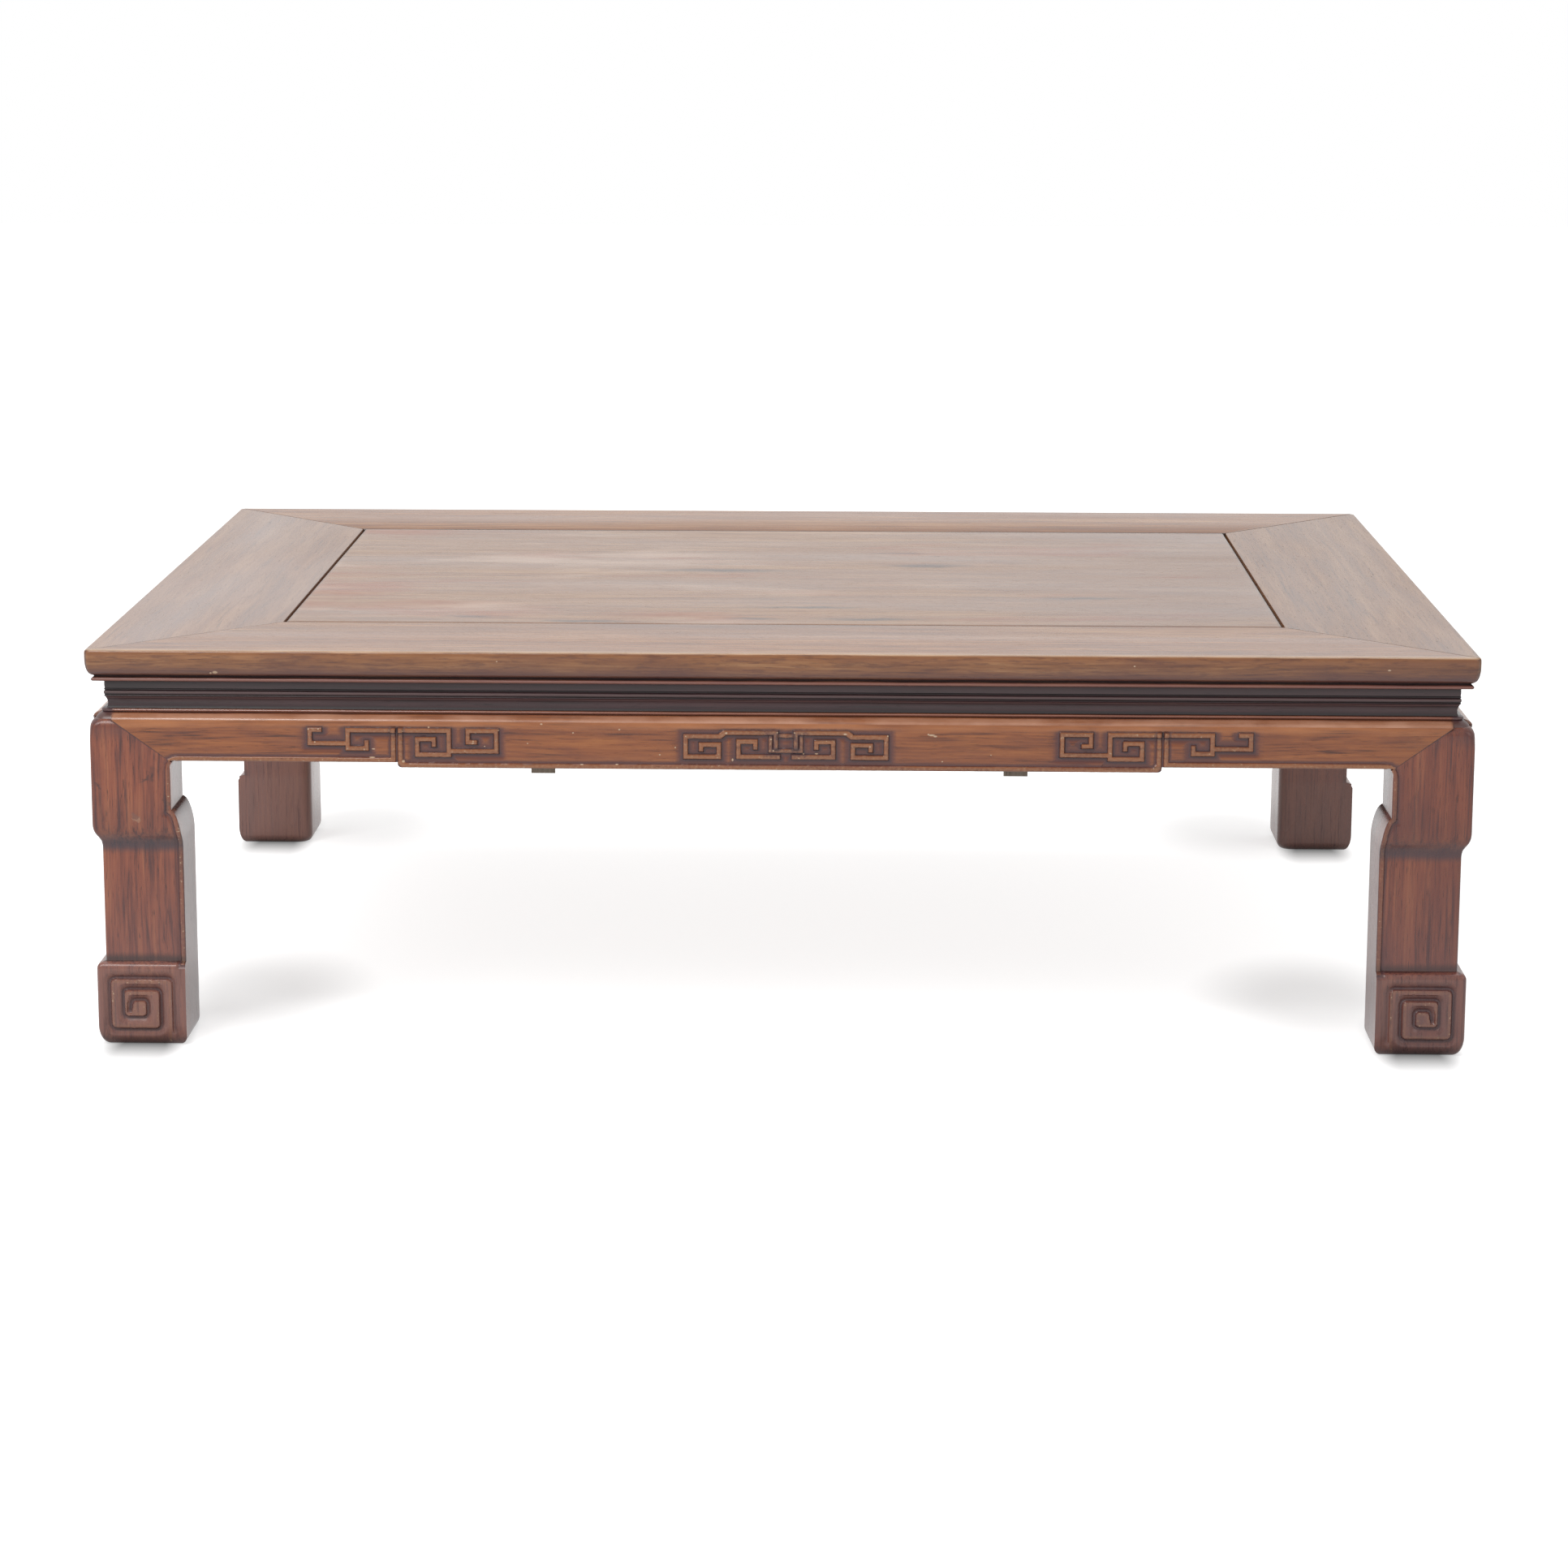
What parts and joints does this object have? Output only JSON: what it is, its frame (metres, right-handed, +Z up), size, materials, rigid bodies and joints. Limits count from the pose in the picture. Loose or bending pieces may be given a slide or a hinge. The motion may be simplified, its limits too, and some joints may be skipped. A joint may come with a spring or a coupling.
{
  "type": "kang table",
  "caption": "Low rectangular waisted table: mitred frame with floating board, recessed waist, carved key-fret aprons and stepped legs with square scroll feet.",
  "frame": {"origin": "on the floor, under the middle of the table", "axes": "+X along the long side, +Y to the back, +Z up; the front apron faces -Y"},
  "size_m": [1.06, 0.78, 0.312],
  "materials": {
    "frame_wood": "waxed reddish-brown hardwood, soft sheen",
    "panel_wood": "waxed reddish-brown hardwood board, lightly worn, soft sheen",
    "waist_wood": "dark aged hardwood with a dull sheen",
    "skirt_wood": "waxed reddish-brown hardwood, dark in the carving",
    "leg_wood": "waxed reddish-brown hardwood, darker at the feet",
    "inner_wood": "plain unwaxed hardwood, matt"
  },
  "bodies": {
    "root": {"front_rail": "frame_wood", "back_rail": "frame_wood", "left_end_rail": "frame_wood", "right_end_rail": "frame_wood", "top_panel": "panel_wood", "front_waist": "waist_wood", "back_waist": "waist_wood", "left_waist": "waist_wood", "right_waist": "waist_wood", "front_moulding": "skirt_wood", "back_moulding": "skirt_wood", "left_moulding": "skirt_wood", "right_moulding": "skirt_wood", "front_apron": "skirt_wood", "back_apron": "skirt_wood", "left_apron": "skirt_wood", "right_apron": "skirt_wood", "front_left_leg": "leg_wood", "front_right_leg": "leg_wood", "back_left_leg": "leg_wood", "back_right_leg": "leg_wood", "cross_batten_1": "inner_wood", "cross_batten_2": "inner_wood", "cross_batten_3": "inner_wood", "front_locking_pin_1": "inner_wood", "front_locking_pin_2": "inner_wood", "back_locking_pin_1": "inner_wood", "back_locking_pin_2": "inner_wood", "left_locking_pin_1": "inner_wood", "right_locking_pin_1": "inner_wood"}
  },
  "joints": []
}
